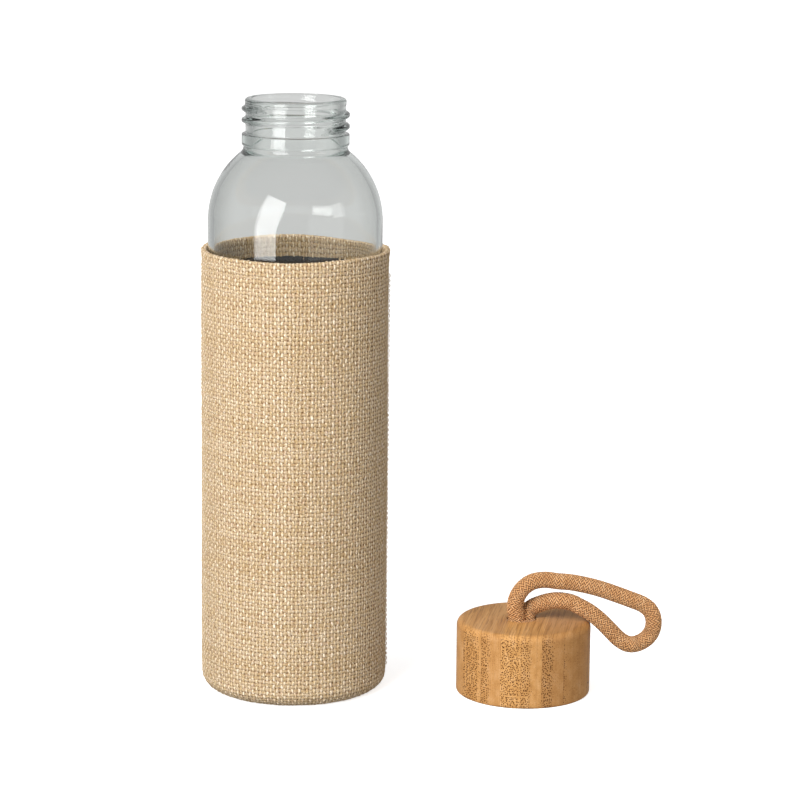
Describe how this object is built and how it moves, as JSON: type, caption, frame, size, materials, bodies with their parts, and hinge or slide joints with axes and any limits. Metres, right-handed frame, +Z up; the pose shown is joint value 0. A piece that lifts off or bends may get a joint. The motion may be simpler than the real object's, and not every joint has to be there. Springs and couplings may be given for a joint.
{
  "type": "glass water bottle",
  "caption": "Clear glass water bottle with a threaded neck in a foam-lined woven sleeve, with a round bamboo screw cap and braided rope loop beside it.",
  "frame": {"origin": "centre of the sleeve's underside, on the surface the bottle stands on", "axes": "+Z up along the bottle, +X towards the cap that stands beside it, -Y the front"},
  "size_m": [0.175, 0.0706, 0.2241],
  "materials": {
    "glass": "clear, polished, very slightly green at the edges",
    "woven_cloth": "coarse plain weave of natural jute-like yarn in mixed straw tones",
    "foam_lining": "black knitted face over closed-cell foam, matt",
    "thread": "twisted sewing thread, matt",
    "bamboo": "laminated bamboo, sanded and oiled, satin",
    "liner": "moulded polypropylene, satin",
    "silicone": "translucent silicone, matt",
    "rope": "round braided cotton cord, tan, matt"
  },
  "bodies": {
    "sleeve": {"sleeve_shell": "woven_cloth", "sleeve_base": "woven_cloth", "sleeve_lining": "foam_lining", "base_pad": "foam_lining", "hem_stitches": "thread", "side_seam": "thread"},
    "bottle": {"glass_bottle": "glass"},
    "seal": {"cap_seal": "silicone"},
    "cap": {"cap_shell": "bamboo", "cap_liner": "liner"},
    "loop": {"rope_loop": "rope", "rope_knot": "rope"}
  },
  "joints": [
    {"name": "bottle_slide", "type": "slide", "parent": "sleeve", "child": "bottle", "axis": [0, 0, 1], "range_m": [0, 0.17]},
    {"name": "cap_lift", "type": "slide", "parent": "sleeve", "child": "seal", "axis": [0, 0, 1], "range_m": [0, 0.25]},
    {"name": "cap_turn", "type": "hinge", "parent": "seal", "child": "cap", "pos_m": [0.08745, -0.0066, 0], "axis": [0, 0, 1], "continuous": true},
    {"name": "loop_swivel", "type": "hinge", "parent": "cap", "child": "loop", "pos_m": [0.0867, -0.0066, 0.028], "axis": [0, 0, 1], "range_deg": [-60, 60]}
  ]
}
